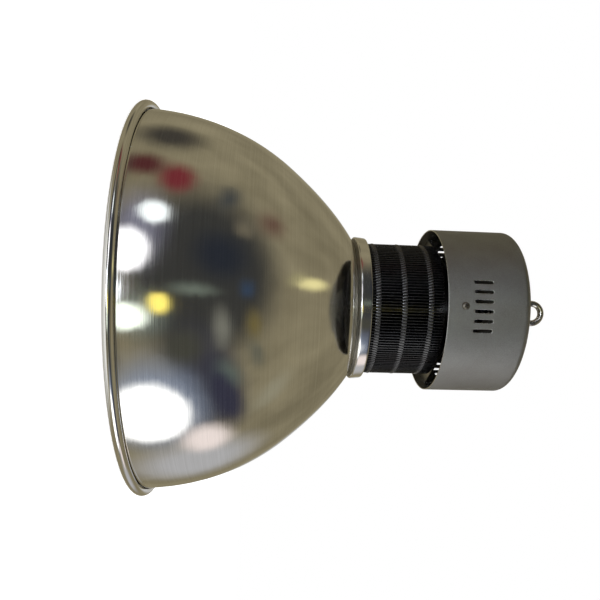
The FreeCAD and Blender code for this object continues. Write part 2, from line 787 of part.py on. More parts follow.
case = new_body("driver_case")
case_sketch = new_sketch(case, "driver_case_section", "YZ_Plane")
half_width = s.driver_width / 2
draw_outline(case_sketch, [
    (-half_width, driver_bottom),
    (half_width, driver_bottom),
    (half_width, driver_top),
    (-half_width, driver_top),
])
pad(case, case_sketch, s.driver_length, midplane=True)


def runs_along_x(edge):
    return abs(edge.Vertexes[0].Z - edge.Vertexes[-1].Z) + abs(edge.Vertexes[0].Y - edge.Vertexes[-1].Y) < 1e-6


round_over(case, "driver_case_corners", s.driver_corner, runs_along_x)

caps = new_body("driver_end_caps")
caps_sketch = new_sketch(caps, "driver_end_caps_section", "XZ_Plane")
cap_inner = s.driver_length / 2
cap_outer = cap_inner + s.cap_thick
draw_outline(caps_sketch, [
    (cap_inner, driver_bottom),
    (cap_outer + s.foot_length, driver_bottom),
    (cap_outer + s.foot_length, driver_bottom + s.cap_thick),
    (cap_outer, driver_bottom + s.cap_thick),
    (cap_outer, driver_top),
    (cap_inner, driver_top),
])
repeat_round(caps, pad(caps, caps_sketch, s.driver_width - 2 * s.driver_corner, midplane=True), 2)
drill(caps, "driver_end_caps_holes", (foot_hole, 0), m4_hole, driver_bottom + s.cap_thick, s.cap_thick, 2)
screws("driver_screws", foot_hole, 2, 0.0, driver_bottom + s.cap_thick, 1,
       s.m4_head, s.m4_head_height, s.m4_radius, s.driver_screw_length)

block = new_body("terminal_block")
block_sketch = new_sketch(block, "terminal_block_outline", "XY_Plane", lift=driver_top)
half_block = s.terminal_length / 2
draw_outline(block_sketch, [
    (-half_block, half_width - s.driver_corner - s.terminal_width),
    (half_block, half_width - s.driver_corner - s.terminal_width),
    (half_block, half_width - s.driver_corner),
    (-half_block, half_width - s.driver_corner),
])
pad(block, block_sketch, s.terminal_height)
well_row = half_width - s.driver_corner - s.terminal_width / 2
for pole in (-1, 0, 1):
    drill(block, "terminal_block_well_%d" % (pole + 2), (pole * s.terminal_pitch, well_row), s.terminal_well,
          driver_top + s.terminal_height, s.terminal_well_depth)


# ---------------------------------------------------------------- housing

housing = turned("housing", [
    (ZERO, housing_inside),
    (housing_bore, housing_inside),
    (housing_bore, housing_bottom),
    (s.housing_radius, housing_bottom),
    (s.housing_radius, housing_top),
    (ZERO, housing_top),
])
round_over(housing, "housing_outer_corner", s.housing_corner,
           lambda edge: on_ring(edge, s.housing_radius, housing_top))
round_over(housing, "housing_inner_corner", s.housing_corner - s.housing_wall,
           lambda edge: on_ring(edge, housing_bore, housing_inside))
drill(housing, "housing_eye_hole", (0, 0), s.shank_radius + s.screw_gap, housing_top, s.housing_wall)
gland_hole = s.gland_thread + s.screw_gap
drill(housing, "housing_gland_hole", (0, gland_offset), gland_hole, housing_top, s.housing_wall)
drill_sideways(housing, "housing_screw_holes", m4_hole, side_screw_level,
               housing_bore - s.cut_past, s.housing_radius + s.cut_past, s.group_count, FIRST_ARM)


def slot_sketch(name, degrees):
    """An upright slot with round ends on a plane outside the housing wall, facing the lamp axis."""
    sketch = new_sketch(housing, name, "YZ_Plane")
    reach = s.housing_radius + s.cut_past
    turn = math.radians(degrees)
    away = Vector(reach.value * math.sin(turn), 0, reach.value * math.cos(turn))
    sketch.AttachmentOffset = Placement(away, Rotation(Vector(0, 1, 0), degrees))
    sketch.setExpression("AttachmentOffset.Base.x", "%s * sin(%.4f deg)" % (reach.text, degrees))
    sketch.setExpression("AttachmentOffset.Base.z", "%s * cos(%.4f deg)" % (reach.text, degrees))
    half = s.slot_width / 2
    middle = housing_bottom + s.slot_middle
    low = middle - s.slot_length / 2 + half
    high = middle + s.slot_length / 2 - half
    line_edge(sketch, (half, low), (half, high))
    line_edge(sketch, (-half, low), (-half, high))
    for centre, begin in ((high, 0), (low, math.pi)):
        circle = Part.Circle(Vector(0, centre.value, 0), Vector(0, 0, 1), half.value)
        edge = sketch.addGeometry(Part.ArcOfCircle(circle, begin, begin + math.pi))
        ends = ((half, centre), (-half, centre)) if begin == 0 else ((-half, centre), (half, centre))
        hold_point(sketch, edge, 1, ends[0])
        hold_point(sketch, edge, 2, ends[1])
        hold(sketch, Sketcher.Constraint("DistanceY", -1, 1, edge, 3, centre.value), centre)
    return sketch


slot_span = s.slot_pitch * (s.slot_count - 1)
for group in range(int(s.group_count.value)):
    start = FIRST_ARM + group * 360 / s.group_count.value - slot_span.value / 2
    # the wall curves away under the flat end of a wide cut, so it goes in by a slot's width more
    depth = s.cut_past + s.housing_wall + s.slot_width
    slot = pocket(housing, slot_sketch("housing_slot_%d" % (group + 1), start), depth)
    repeat_round(housing, slot, s.slot_count, slot_span)


def side_screws():
    """Screws through the housing wall into the arms of the driver plate."""
    body = new_body("housing_screws")
    sketch = new_sketch(body, "housing_screws_section", "XZ_Plane")
    seat = s.housing_radius
    draw_outline(sketch, [
        (seat + s.m4_head_height, side_screw_level),
        (seat + s.m4_head_height, side_screw_level + s.m4_head),
        (seat, side_screw_level + s.m4_head),
        (seat, side_screw_level + s.m4_radius),
        (seat - s.side_screw_length, side_screw_level + s.m4_radius),
        (seat - s.side_screw_length, side_screw_level),
    ])
    draw_axis(sketch, False, side_screw_level)
    repeat_round(body, revolve(body, sketch, own_axis=True), s.group_count)
    body.Placement = Placement(Vector(0, 0, 0), Rotation(Vector(0, 0, 1), FIRST_ARM))


side_screws()


# ---------------------------------------------------------------- lifting eye

eye_level = housing_top + s.eye_rise
eye_middle = s.eye_inner + s.eye_bar
eye_foot = eye_level - eye_middle - s.eye_bar
eye = turned("eye_bolt", [
    (ZERO, housing_top - s.shank_tail),
    (s.shank_radius, housing_top - s.shank_tail),
    (s.shank_radius, eye_foot - s.eye_bar),
    (s.eye_neck, eye_foot + s.eye_bar),
    (ZERO, eye_foot + s.eye_bar),
])
eye_sketch = new_sketch(eye, "eye_bolt_bar", "YZ_Plane")
draw_circle(eye_sketch, (0, eye_level + eye_middle), s.eye_bar)
draw_axis(eye_sketch, False, eye_level)
revolve(eye, eye_sketch, own_axis=True)

shank_hole = s.shank_radius + s.screw_gap


def washer(label, bottom, thick, outer, inner, offset=ZERO):
    """A flat ring about the lamp axis, or about x = 0, y = offset."""
    body = new_body(label)
    sketch = new_sketch(body, label + "_outline", "XY_Plane", lift=bottom)
    draw_circle(sketch, (0, offset), outer)
    pad(body, sketch, thick)
    drill(body, label + "_hole", (0, offset), inner, bottom + thick, thick)
    return body


spring_bottom = housing_top + s.washer_thick
washer("eye_washer", housing_top, s.washer_thick, s.washer_radius, shank_hole)
spring = washer("eye_spring_washer", spring_bottom, s.spring_washer_thick, s.spring_washer_radius, shank_hole)
split = new_sketch(spring, "eye_spring_washer_split", "XY_Plane", lift=spring_bottom + s.spring_washer_thick)
draw_outline(split, [
    (ZERO, ZERO),
    (s.spring_washer_radius + s.cut_past, ZERO),
    (s.spring_washer_radius + s.cut_past, s.spring_washer_thick / 2),
    (ZERO, s.spring_washer_thick / 2),
])
pocket(spring, split, s.spring_washer_thick)
nut("eye_nut_outer", s.eye_nut_flats, shank_hole, spring_bottom + s.spring_washer_thick, s.eye_nut_height)
load_bottom = housing_inside - s.washer_thick
washer("eye_load_washer", load_bottom, s.washer_thick, s.load_washer_radius, shank_hole)
nut("eye_nut_inner", s.eye_nut_flats, shank_hole, load_bottom - s.eye_nut_height, s.eye_nut_height)


# ---------------------------------------------------------------- cable gland

hex_bottom = housing_top + s.gland_washer
hex_top = hex_bottom + s.gland_hex
neck_top = hex_top + s.gland_neck
neck_radius = s.gland_thread
cap_bottom = hex_top + 2 * s.turned_gap
cap_bore = neck_radius + s.turned_gap
cap_shoulder = cap_bottom + s.cap_skirt
cap_top = cap_shoulder + s.cap_dome
seal_radius = s.gland_bore - s.turned_gap


def gland_part(label, corners):
    """A part of the gland turned about the gland's own axis."""
    body, _ = turned_aside(label, corners, gland_offset)
    body.Placement = Placement(Vector(0, 0, 0), Rotation(Vector(0, 0, 1), 90))
    return body


gland = gland_part("gland_body", [
    (s.gland_bore, housing_top - s.gland_tail),
    (s.gland_thread, housing_top - s.gland_tail),
    (s.gland_thread, neck_top),
    (s.gland_bore, neck_top),
])
flange_sketch = new_sketch(gland, "gland_body_hexagon", "XY_Plane", lift=hex_bottom)
corner = s.gland_flats / math.sqrt(3)
hex_turns = [math.radians(60 * step) for step in range(6)]
draw_outline(flange_sketch, [
    (gland_offset + corner * math.cos(turn), corner * math.sin(turn)) for turn in hex_turns
])
pad(gland, flange_sketch, s.gland_hex)
drill(gland, "gland_body_bore", (gland_offset, 0), s.gland_bore, hex_top, s.gland_hex)

washer("gland_washer", housing_top, s.gland_washer, s.gland_flats / 2, gland_hole, gland_offset)
locknut_bottom = housing_inside - s.gland_locknut
nut("gland_locknut", s.gland_flats, gland_hole, locknut_bottom, s.gland_locknut, gland_offset)
gland_part("gland_seal", [
    (s.cable_radius, hex_top),
    (seal_radius, hex_top),
    (seal_radius, neck_top + s.cap_wall),
    (s.cable_radius, neck_top + s.cap_wall),
])
cap_rim = s.cable_radius + 3 * s.turned_gap
gland_part("gland_cap", [
    (cap_bore, cap_bottom),
    (s.gland_flats / 2, cap_bottom),
    (s.gland_flats / 2, cap_shoulder),
    (cap_bore, cap_top),
    (cap_rim, cap_top),
    (cap_rim, neck_top + s.cap_wall + s.turned_gap),
    (cap_bore, neck_top + s.cap_wall + s.turned_gap),
])


# ---------------------------------------------------------------- leads inside the lamp

lead_level = core_bottom.value - s.turned_gap.value - s.led_lead.value
board_edge = (s.board_side / 2 + s.turned_gap).value
cable("led_lead", [
    Vector(board_edge, 0, lead_level),
    Vector(s.lead_offset.value, 0, lead_level),
    Vector(s.lead_offset.value, 0, driver_bottom.value),
], s.led_lead.value, s.led_bend.value)


# ---------------------------------------------------------------- checks and files

doc.recompute()
for item in doc.Objects:
    if "Invalid" in item.State or "Error" in item.State:
        raise RuntimeError("failed: %s %s" % (item.Name, item.State))
for piece in pieces:
    if piece.Shape.isNull() or not piece.Shape.isValid() or not piece.Shape.Solids:
        raise RuntimeError("no valid solid: " + piece.Label)

os.makedirs("parts", exist_ok=True)
for piece in pieces:
    piece.Shape.exportStep("parts/%s.step" % piece.Label)
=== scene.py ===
import math
import random

import bmesh
import bpy
from mathutils import Matrix, Vector


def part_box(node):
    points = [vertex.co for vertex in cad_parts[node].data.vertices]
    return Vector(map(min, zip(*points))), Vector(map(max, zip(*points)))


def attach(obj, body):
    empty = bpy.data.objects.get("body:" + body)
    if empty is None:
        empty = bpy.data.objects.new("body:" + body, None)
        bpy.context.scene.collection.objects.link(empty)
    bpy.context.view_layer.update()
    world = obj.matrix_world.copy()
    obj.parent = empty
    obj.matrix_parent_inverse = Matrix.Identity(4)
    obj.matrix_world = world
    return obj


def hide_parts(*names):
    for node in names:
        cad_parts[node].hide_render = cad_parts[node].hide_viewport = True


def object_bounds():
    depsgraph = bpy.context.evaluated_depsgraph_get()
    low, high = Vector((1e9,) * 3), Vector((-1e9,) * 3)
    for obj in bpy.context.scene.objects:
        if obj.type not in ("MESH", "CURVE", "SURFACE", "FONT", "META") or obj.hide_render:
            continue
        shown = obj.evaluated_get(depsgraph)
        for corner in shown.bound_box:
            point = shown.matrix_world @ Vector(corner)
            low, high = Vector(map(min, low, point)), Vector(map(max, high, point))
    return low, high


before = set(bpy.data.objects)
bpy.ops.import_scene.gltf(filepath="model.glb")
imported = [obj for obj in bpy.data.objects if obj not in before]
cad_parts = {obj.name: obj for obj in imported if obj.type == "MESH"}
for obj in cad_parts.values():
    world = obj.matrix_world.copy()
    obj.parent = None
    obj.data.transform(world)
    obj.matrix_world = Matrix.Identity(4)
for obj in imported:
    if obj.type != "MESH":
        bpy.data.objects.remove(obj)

cad_low, cad_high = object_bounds()


# ---- Bell reflector --------------------------------------------------------------------------
# One aluminium sheet, spun over a former, with its mouth rolled into a bead. Inside and outside
# keep the fine turning lines of the spinning tool, and wiping has left it a little blotchy.

def add_node(tree, kind, inputs=None, **settings):
    """A shader node with its settings; an input is a number, a colour or another node's socket."""
    made = tree.nodes.new(kind)
    for name, value in settings.items():
        setattr(made, name, value)
    for name, value in (inputs or {}).items():
        if isinstance(value, bpy.types.NodeSocket):
            tree.links.new(value, made.inputs[name])
        else:
            made.inputs[name].default_value = value
    return made


def new_finish(name, colour, roughness, metallic=0.0):
    """A material with its shader's plain values set; returns material, node tree and shader."""
    finish = bpy.data.materials.new(name)
    finish.use_nodes = True
    tree = finish.node_tree
    shader = tree.nodes["Principled BSDF"]
    shader.inputs["Base Color"].default_value = (*colour, 1)
    shader.inputs["Roughness"].default_value = roughness
    shader.inputs["Metallic"].default_value = metallic
    return finish, tree, shader


def stretched_noise(tree, stretch, detail=3.0, roughness=0.6):
    """Noise on the object's own coordinates, stretched by a scale for each axis, per metre."""
    where = add_node(tree, "ShaderNodeTexCoord").outputs["Object"]
    scaled = add_node(tree, "ShaderNodeMapping", {"Vector": where, "Scale": stretch}).outputs["Vector"]
    noise = add_node(tree, "ShaderNodeTexNoise",
                     {"Vector": scaled, "Scale": 1.0, "Detail": detail, "Roughness": roughness})
    return noise.outputs["Fac"]


def spread(tree, fac, low, high, start=0.3, end=0.7):
    """A factor from its usual range start to end, moved onto low to high."""
    made = add_node(tree, "ShaderNodeMapRange", {
        "Value": fac, "From Min": start, "From Max": end, "To Min": low, "To Max": high,
    })
    return made.outputs["Result"]


def two_tone(tree, fac, dark, light):
    """A colour between two tones, by a factor; each may be another node's socket."""
    mix = add_node(tree, "ShaderNodeMix", data_type="RGBA")
    for place, value in ((0, fac), (6, dark), (7, light)):
        if isinstance(value, bpy.types.NodeSocket):
            tree.links.new(value, mix.inputs[place])
        else:
            mix.inputs[place].default_value = value if place == 0 else (*value, 1)
    return mix.outputs[2]


def dent(tree, shader, height, depth, under=None):
    """Relief of a depth in metres on the shader's normal, over an earlier relief if there is one."""
    bump = add_node(tree, "ShaderNodeBump", {"Height": height, "Strength": 1.0, "Distance": depth})
    if under is not None:
        tree.links.new(under.outputs["Normal"], bump.inputs["Normal"])
    tree.links.new(bump.outputs["Normal"], shader.inputs["Normal"])
    return bump


def dress(finish, *nodes):
    """Give CAD nodes a finish."""
    for name in nodes:
        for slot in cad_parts[name].material_slots:
            slot.material = finish


spun, tree, shader = new_finish("spun_aluminium", (0.86, 0.85, 0.82), 0.18, 1.0)
tool_lines = stretched_noise(tree, (6, 6, 1000), detail=2.0)
broad_lines = stretched_noise(tree, (5, 5, 260), detail=2.0)
tree.links.new(spread(tree, tool_lines, 0.07, 0.13), shader.inputs["Roughness"])
blotches = stretched_noise(tree, (16, 16, 40))
wiped = two_tone(tree, blotches, (0.80, 0.79, 0.75), (0.90, 0.89, 0.86))
lined = two_tone(tree, spread(tree, tool_lines, 0, 1), (0.77, 0.76, 0.72), (0.94, 0.93, 0.90))
tree.links.new(two_tone(tree, 0.5, wiped, lined), shader.inputs["Base Color"])
broad_bump = dent(tree, shader, broad_lines, 0.000012)
dent(tree, shader, tool_lines, 0.000014, under=broad_bump)
shader.inputs["Anisotropic"].default_value = 0.35
shader.inputs["Anisotropic Rotation"].default_value = 0.25
around = add_node(tree, "ShaderNodeTangent", direction_type="RADIAL", axis="Z")
tree.links.new(around.outputs["Tangent"], shader.inputs["Tangent"])
dress(spun, "reflector")


# ---- Neck ring -------------------------------------------------------------------------------
# A ring spun from sheet. A narrow dull flank stands on the bell, and above it a flattened crown is
# polished by hand, so that what it mirrors wavers a little. Six screws clamp it to the heat sink.

def new_piece(name, mesh, finish, slot, *nodes, sharp=35):
    """Turn a finished bmesh into a piece that rides on the lamp and replaces CAD nodes."""
    bmesh.ops.recalc_face_normals(mesh, faces=mesh.faces)
    data = bpy.data.meshes.new(name)
    mesh.to_mesh(data)
    mesh.free()
    data.polygons.foreach_set("use_smooth", [True] * len(data.polygons))
    data.set_sharp_from_angle(angle=math.radians(sharp))
    for material in finish if isinstance(finish, (list, tuple)) else [finish]:
        data.materials.append(material)
    piece = bpy.data.objects.new(name, data)
    bpy.context.collection.objects.link(piece)
    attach(piece, "root")
    if nodes:
        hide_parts(*nodes)
    return piece


def quads(mesh, rows, wrap=False):
    """Faces between rows of corners; with wrap each row is closed into a ring."""
    for low, high in zip(rows, rows[1:]):
        count = len(low)
        for step in range(count if wrap else count - 1):
            after = (step + 1) % count
            mesh.faces.new((low[step], low[after], high[after], high[step]))


def spun_solid(mesh, profile, count=72):
    """Revolve a profile of (radius, height, material number); a radius of 0 closes it with a point."""
    rings = []
    for radius, height, material in profile:
        turns = [2 * math.pi * a / count for a in range(count if radius else 1)]
        ring = [mesh.verts.new((radius * math.cos(turn), radius * math.sin(turn), height)) for turn in turns]
        rings.append((ring, material))
    for (low, material), (high, _) in zip(rings, rings[1:]):
        for a in range(count):
            after = (a + 1) % count
            below = [low[a], low[after]] if len(low) > 1 else low
            above = [high[after], high[a]] if len(high) > 1 else high
            mesh.faces.new(below + above).material_index = material


polished, tree, shader = new_finish("polished_ring", (0.88, 0.87, 0.84), 0.1, 1.0)
haze = stretched_noise(tree, (70, 70, 70), detail=4.0)
tree.links.new(spread(tree, haze, 0.07, 0.17), shader.inputs["Roughness"])
waver = stretched_noise(tree, (45, 45, 30), detail=1.0)
dent(tree, shader, waver, 0.00025)
dull, tree, shader = new_finish("dull_flank", (0.34, 0.32, 0.27), 0.5, 1.0)
scuffs = stretched_noise(tree, (200, 200, 500))
tree.links.new(spread(tree, scuffs, 0.40, 0.58), shader.inputs["Roughness"])
tree.links.new(two_tone(tree, scuffs, (0.22, 0.21, 0.175), (0.42, 0.40, 0.345)), shader.inputs["Base Color"])
dent(tree, shader, scuffs, 0.00003)

RING_BULGE = 0.0039
RING_GAUGE = 0.0012
RING_SIDES = 144
THROAT = 0.054
FLANK = [(-0.0006, 0.0), (0.0003, 0.0009), (0.0016, 0.0018)]    # out from the foot, and up
FLANK_HEIGHT = 0.0021
FLANK_OUT = 0.0019
CROWN_STEPS = 36
CROWN_FLATNESS = 2 / 7
CROWN_FALL = 0.0012
ring_low, ring_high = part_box("neck_ring")
ring_half = (ring_high.z - ring_low.z - FLANK_HEIGHT) / 2
foot = ring_high.x - RING_BULGE
outline = [(foot + out, ring_low.z + rise, 1) for out, rise in FLANK]
for step in range(CROWN_STEPS + 1):
    turn = math.pi * step / CROWN_STEPS
    along = math.copysign(abs(math.cos(turn)) ** CROWN_FLATNESS, math.cos(turn))
    bulge = math.sin(turn) ** CROWN_FLATNESS
    radius = foot + (RING_BULGE - CROWN_FALL * (1 - along) / 2) * bulge
    height = ring_high.z - ring_half * (1 + along)
    if radius > foot + FLANK_OUT or height > ring_high.z - ring_half:
        outline.append((radius, height, 0))
sheet_top = ring_low.z + RING_GAUGE
hollow = [(radius - RING_GAUGE, max(height, sheet_top), 0) for radius, height, _ in outline[::-2]]
flange = [(THROAT, sheet_top, 0), (THROAT, ring_low.z, 0)]
mesh = bmesh.new()
spun_solid(mesh, outline + hollow + flange + [outline[0]], RING_SIDES)
bmesh.ops.remove_doubles(mesh, verts=mesh.verts, dist=0.00001)
new_piece("polished_neck_ring", mesh, [polished, dull], "polished_ring", "neck_ring")


# ---- Heat sink -------------------------------------------------------------------------------
# A turned aluminium core carries 144 thin blades with folded feet. Each blade has three tabs
# that are bent over and lock into the next blade. All of it is black anodised.

def turned_marks(tree, fineness):
    """Noise that changes with the distance from the lamp axis, as a lathe leaves on a face."""
    where = add_node(tree, "ShaderNodeTexCoord").outputs["Object"]
    flat = add_node(tree, "ShaderNodeMapping", {"Vector": where, "Scale": (1, 1, 0)}).outputs["Vector"]
    radius = add_node(tree, "ShaderNodeVectorMath", operation="LENGTH")
    tree.links.new(flat, radius.inputs[0])
    noise = add_node(tree, "ShaderNodeTexNoise",
                     {"W": radius.outputs["Value"], "Scale": fineness, "Detail": 2.0}, noise_dimensions="1D")
    return noise.outputs["Fac"]


def closed_strip(mesh, loops):
    """A closed solid through loops of corners, each loop one cross-section."""
    rows = [[mesh.verts.new(corner) for corner in loop] for loop in loops]
    quads(mesh, rows, wrap=True)
    mesh.faces.new(reversed(rows[0]))
    mesh.faces.new(rows[-1])


anodised, tree, shader = new_finish("black_anodised", (0.010, 0.010, 0.011), 0.3)
shader.inputs["IOR"].default_value = 1.8
mottle = stretched_noise(tree, (420, 420, 90), detail=3.0)
tree.links.new(spread(tree, mottle, 0.22, 0.42), shader.inputs["Roughness"])
blacks = two_tone(tree, mottle, (0.006, 0.006, 0.007), (0.017, 0.017, 0.018))
tree.links.new(blacks, shader.inputs["Base Color"])
dent(tree, shader, mottle, 0.00003)

rubbed_tabs, tree, shader = new_finish("rubbed_tabs", (0.014, 0.014, 0.015), 0.2)
shader.inputs["IOR"].default_value = 1.7
rubbing = stretched_noise(tree, (300, 300, 500), detail=3.0)
tree.links.new(spread(tree, rubbing, 0.12, 0.20), shader.inputs["Roughness"])
rubbed = two_tone(tree, rubbing, (0.010, 0.010, 0.011), (0.020, 0.020, 0.021))
tree.links.new(rubbed, shader.inputs["Base Color"])
dent(tree, shader, rubbing, 0.00002)

lathed_black, tree, shader = new_finish("lathed_black", (0.012, 0.012, 0.013), 0.32)
lathe_marks = turned_marks(tree, 1600)
tree.links.new(spread(tree, lathe_marks, 0.24, 0.40), shader.inputs["Roughness"])
turned = two_tone(tree, lathe_marks, (0.008, 0.008, 0.009), (0.018, 0.018, 0.019))
tree.links.new(turned, shader.inputs["Base Color"])
dent(tree, shader, lathe_marks, 0.00002)
dress(lathed_black, "heat_sink_core")

BLADES = 144
BLADE_GAUGE = 0.0005
BLADE_LEAN = 0.00012
TIP_SPREAD = 0.00016
PROUD_BLADE = 105
PROUD_LEAN = 0.0002
FOOT_OUTER = 0.0387
TAB_ROWS = 3
TAB_HEIGHT = 0.005
TAB_LEAN = 0.0012
TAB_DEPTH = 0.0006
TAB_CLEAR = 0.00002
TAB_SINK = 0.00006
TAB_EDGE = 0.0002
# below the tab's face, and the share of the way to the next blade
TAB_FOLD = [(0.0002, 0.06), (0.00004, 0.15), (0, 0.28), (0, 0.5), (0.00004, 0.62), (0.0002, 0.7)]
fins_low, fins_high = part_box("fin_stack")
tabs_low, tabs_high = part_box("fin_tab_rows")
blade_tip = fins_high.x
half = BLADE_GAUGE / 2
pitch = 2 * math.pi / BLADES
tab_face = tabs_high.x - TAB_CLEAR
tab_back = tab_face - TAB_LEAN - TAB_DEPTH
tab_levels = [tabs_low.z + TAB_HEIGHT / 2 + (tabs_high.z - tabs_low.z - TAB_HEIGHT) * row / (TAB_ROWS - 1)
              for row in range(TAB_ROWS)]
fold = random.Random(11)
mesh = bmesh.new()
for blade in range(BLADES):
    angle = 2 * math.pi * blade / BLADES
    lean = fold.uniform(-BLADE_LEAN, BLADE_LEAN)
    tip = blade_tip - fold.uniform(0, TIP_SPREAD)
    if blade == PROUD_BLADE:
        lean, tip = PROUD_LEAN, blade_tip
    turn = Matrix.Rotation(angle, 3, "Z")
    section = [(FOOT_OUTER, -half), (FOOT_OUTER, half), (tip, lean + half), (tip, lean - half)]
    closed_strip(mesh, [[turn @ Vector((out, side, height)) for out, side in section]
                        for height in (fins_low.z, fins_high.z)])
    for level in tab_levels:
        sink = fold.uniform(0, TAB_SINK)
        loops = []
        for share in (-1, -0.8, 0.8, 1):
            height = level + share * TAB_HEIGHT / 2
            face = tab_face - sink - (1 - share) / 2 * TAB_LEAN - (TAB_EDGE if share == 1 else 0)
            front = [(face - fall, part) for fall, part in TAB_FOLD]
            section = [(tab_back, 0.05), *front, (tab_back, 0.71), (tab_back, 0.4)]
            loops.append([Vector((out * math.cos(angle + part * pitch), out * math.sin(angle + part * pitch),
                                  height)) for out, part in section])
        first = len(mesh.faces)
        closed_strip(mesh, loops)
        mesh.faces.ensure_lookup_table()
        for face in mesh.faces[first:]:
            face.material_index = 1
core_wall = [[mesh.verts.new((FOOT_OUTER * math.cos(a * pitch), FOOT_OUTER * math.sin(a * pitch), height))
              for a in range(BLADES)] for height in (fins_low.z, fins_high.z)]
quads(mesh, core_wall, wrap=True)
new_piece("folded_fins", mesh, [anodised, rubbed_tabs], "black_anodised", "fin_stack", "fin_tab_rows")


# ---- LED light engine ------------------------------------------------------------------------
# A white aluminium board on a grey heat pad under the core. The chip array lies in one round
# field under yellow phosphor silicone, held in by a white dam.

def grained(name, dark, light, smooth, rough, stretch, metallic=0.0, depth=0.00002, detail=3.0):
    """A finish whose tone, roughness and relief all follow one fine grain."""
    finish, tree, shader = new_finish(name, light, rough, metallic)
    grain = stretched_noise(tree, stretch, detail)
    tree.links.new(two_tone(tree, grain, dark, light), shader.inputs["Base Color"])
    tree.links.new(spread(tree, grain, smooth, rough), shader.inputs["Roughness"])
    dent(tree, shader, grain, depth)
    return finish


dress(grained("heat_pad", (0.30, 0.31, 0.33), (0.38, 0.39, 0.41), 0.7, 0.85, (900, 900, 900)), "thermal_pad")
dress(grained("white_board", (0.72, 0.72, 0.69), (0.80, 0.80, 0.78), 0.3, 0.42, (700, 700, 700)), "led_board")
dam = grained("white_dam", (0.74, 0.74, 0.72), (0.82, 0.82, 0.80), 0.35, 0.5, (500, 500, 500))
phosphor = grained("phosphor", (0.76, 0.55, 0.05), (0.88, 0.70, 0.10), 0.35, 0.5, (1500, 1500, 1500),
                   depth=0.00004)
emitter_low, emitter_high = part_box("led_emitter")
DAM = [(0, 0.0004), (0.0005, 0), (0.0015, 0), (0.0021, 0.0003)]    # in from the edge, and up
FIELD_INSET = 0.0023
FIELD_EDGE = 0.0005
FIELD_MIDDLE = 0.0004
edge, face, back = emitter_high.x, emitter_low.z, emitter_high.z
dam_outline = [(edge - inwards, face + rise, 0) for inwards, rise in DAM]
field_outline = [(edge - FIELD_INSET, face + FIELD_EDGE, 1), (0, face + FIELD_MIDDLE, 1)]
mesh = bmesh.new()
spun_solid(mesh, [(0, back, 0), (edge, back, 0)] + dam_outline + field_outline)
new_piece("led_field", mesh, [dam, phosphor], "phosphor", "led_emitter")


# ---- Screws ----------------------------------------------------------------------------------
# Zinc-plated pan-head screws with a cross recess hold the board, the glass and its retainer.

HEAD_SIDES = 48
# shares of the head's radius and height, and of its radius, height and mouth for the cross recess
HEAD_OUTLINE = [(0.999, 0), (1, 0.12), (0.985, 0.38), (0.93, 0.62), (0.82, 0.82), (0.68, 0.94), (0.56, 1)]
CROSS_WIDTH = 0.14
CROSS_REACH = 0.54
CROSS_DEPTH = 0.6
CROSS_TAPER = 0.7
CROSS_START = 17
CROSS_TURN = 53


def pan_head_screw(mesh, place, head, height, shank, length):
    """One screw whose head stands up along +Z of its place and whose shank points down."""
    dome = [(head * out, height * rise) for out, rise in HEAD_OUTLINE]
    tail = [(shank * 0.8, -length), (shank, -length + shank * 0.3), (shank, 0.0)]
    turns = [2 * math.pi * a / HEAD_SIDES for a in range(HEAD_SIDES)]
    rows = [[mesh.verts.new(place @ Vector((radius * math.cos(turn), radius * math.sin(turn), level)))
             for turn in turns] for radius, level in tail + dome]
    quads(mesh, rows, wrap=True)
    mesh.faces.new(reversed(rows[0]))
    wide, reach, deep = head * CROSS_WIDTH, head * CROSS_REACH, height * CROSS_DEPTH
    cross = [(reach, -wide), (reach, wide), (wide, wide), (wide, reach), (-wide, reach), (-wide, wide),
             (-reach, wide), (-reach, -wide), (-wide, -wide), (-wide, -reach), (wide, -reach), (wide, -wide)]
    mouth = [mesh.verts.new(place @ Vector((across, up, height))) for across, up in cross]
    floor = [mesh.verts.new(place @ Vector((across * CROSS_TAPER, up * CROSS_TAPER, height - deep)))
             for across, up in cross]
    # The recess faces take the second finish, a near-black painted shade.
    first = len(mesh.faces)
    quads(mesh, [floor, mouth], wrap=True)
    mesh.faces.new(floor)
    mesh.faces.ensure_lookup_table()
    for face in mesh.faces[first:]:
        face.material_index = 1
    rim = [mesh.edges.get((loop[a], loop[(a + 1) % len(loop)])) for loop in (rows[-1], mouth)
           for a in range(len(loop))]
    bmesh.ops.triangle_fill(mesh, edges=rim, use_beauty=True)


def screw_ring(name, node, count, start, circle, level, facing, head, height, shank, length, finish):
    """Like screws round the lamp axis, their heads facing up (1), down (-1) or outwards (0)."""
    mesh = bmesh.new()
    for step in range(count):
        turn = Matrix.Rotation(math.radians(start + 360 * step / count), 4, "Z")
        tilt = {1: 0, -1: math.pi, 0: math.pi / 2}[facing]
        spin = Matrix.Rotation(math.radians(CROSS_START + CROSS_TURN * step), 4, "Z")
        place = turn @ Matrix.Translation((circle, 0, level)) @ Matrix.Rotation(tilt, 4, "Y") @ spin
        pan_head_screw(mesh, place, head, height, shank, length)
    return new_piece(name, mesh, [finish, painted_recess_shade], "screw_steel", node)
